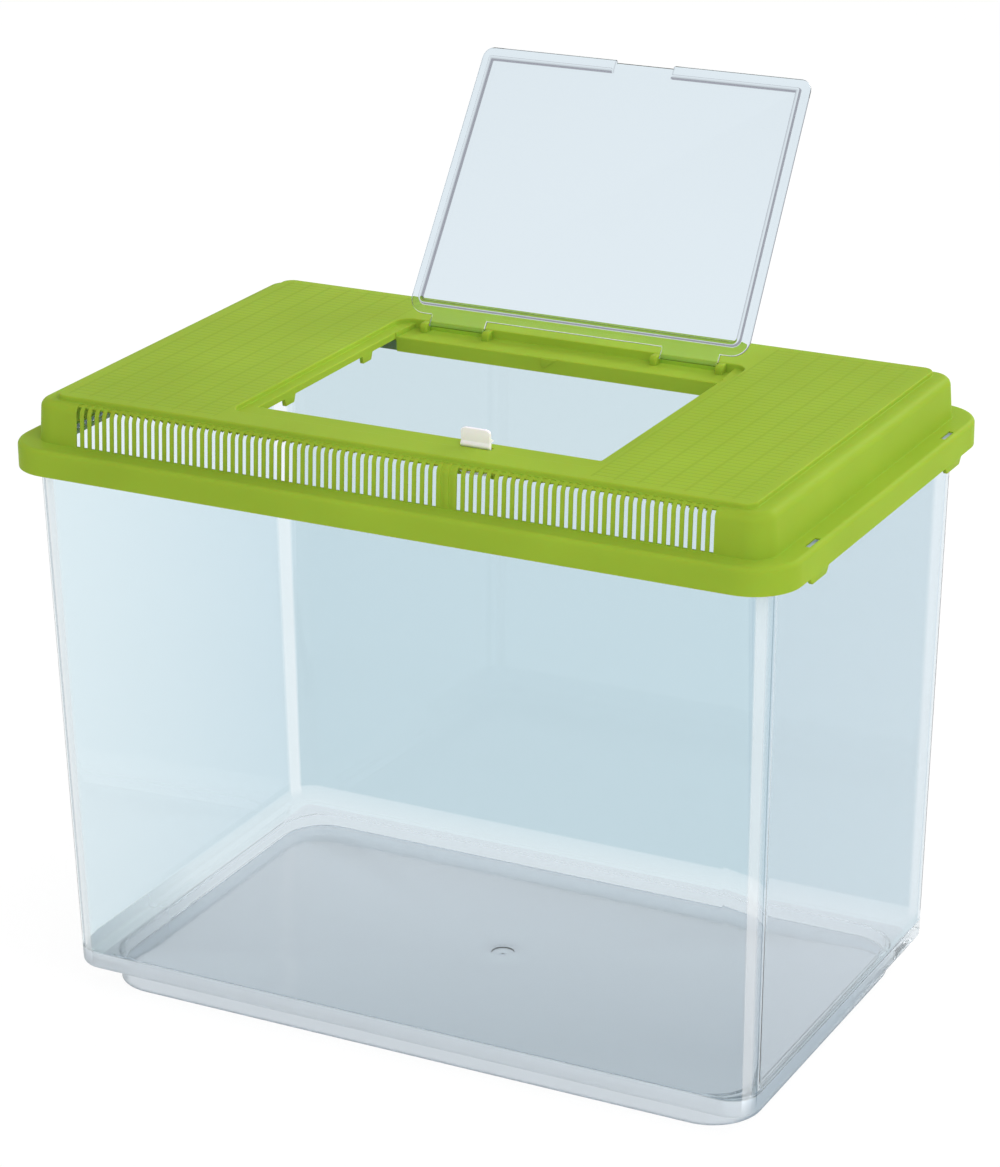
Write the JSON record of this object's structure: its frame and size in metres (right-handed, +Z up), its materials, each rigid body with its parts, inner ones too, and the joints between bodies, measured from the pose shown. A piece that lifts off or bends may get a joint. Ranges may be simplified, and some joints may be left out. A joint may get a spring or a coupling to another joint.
{
  "type": "pet keeper",
  "caption": "Rectangular clear plastic pet keeper with a vented lift-off lid, a hinged clear trapdoor over the lid's opening and a small catch.",
  "frame": {"origin": "middle of the foot ring's lower face, where the tank stands on the table", "axes": "+Z up, +X along the length to the right as seen from the vented front, +Y to the back where the trapdoor hinges"},
  "size_m": [0.413, 0.2919, 0.4461],
  "materials": {
    "clear_tank": "clear injection-moulded polystyrene, polished, very faintly blue",
    "green_lid": "lime green moulded polypropylene, satin, with a fine ridged grain on the top panel",
    "clear_door": "clear injection-moulded polystyrene, polished",
    "milky_catch": "milky translucent moulded plastic, satin"
  },
  "bodies": {
    "tank": {"tank": "clear_tank"},
    "lid": {"lid": "green_lid"},
    "trapdoor": {"trapdoor": "clear_door"},
    "catch": {"catch": "milky_catch"}
  },
  "joints": [
    {"name": "lid_lift", "type": "slide", "parent": "tank", "child": "lid", "axis": [0, 0, 1], "range_m": [0, 0.06]},
    {"name": "trapdoor_hinge", "type": "hinge", "parent": "lid", "child": "trapdoor", "pos_m": [0.0034, 0.0716, 0.3186], "axis": [1, 0, 0], "range_deg": [0, 124.9]},
    {"name": "catch_pivot", "type": "hinge", "parent": "lid", "child": "catch", "pos_m": [0.0337, -0.08745, 0.306], "axis": [-1, 0, 0], "range_deg": [0, 4.9]}
  ]
}
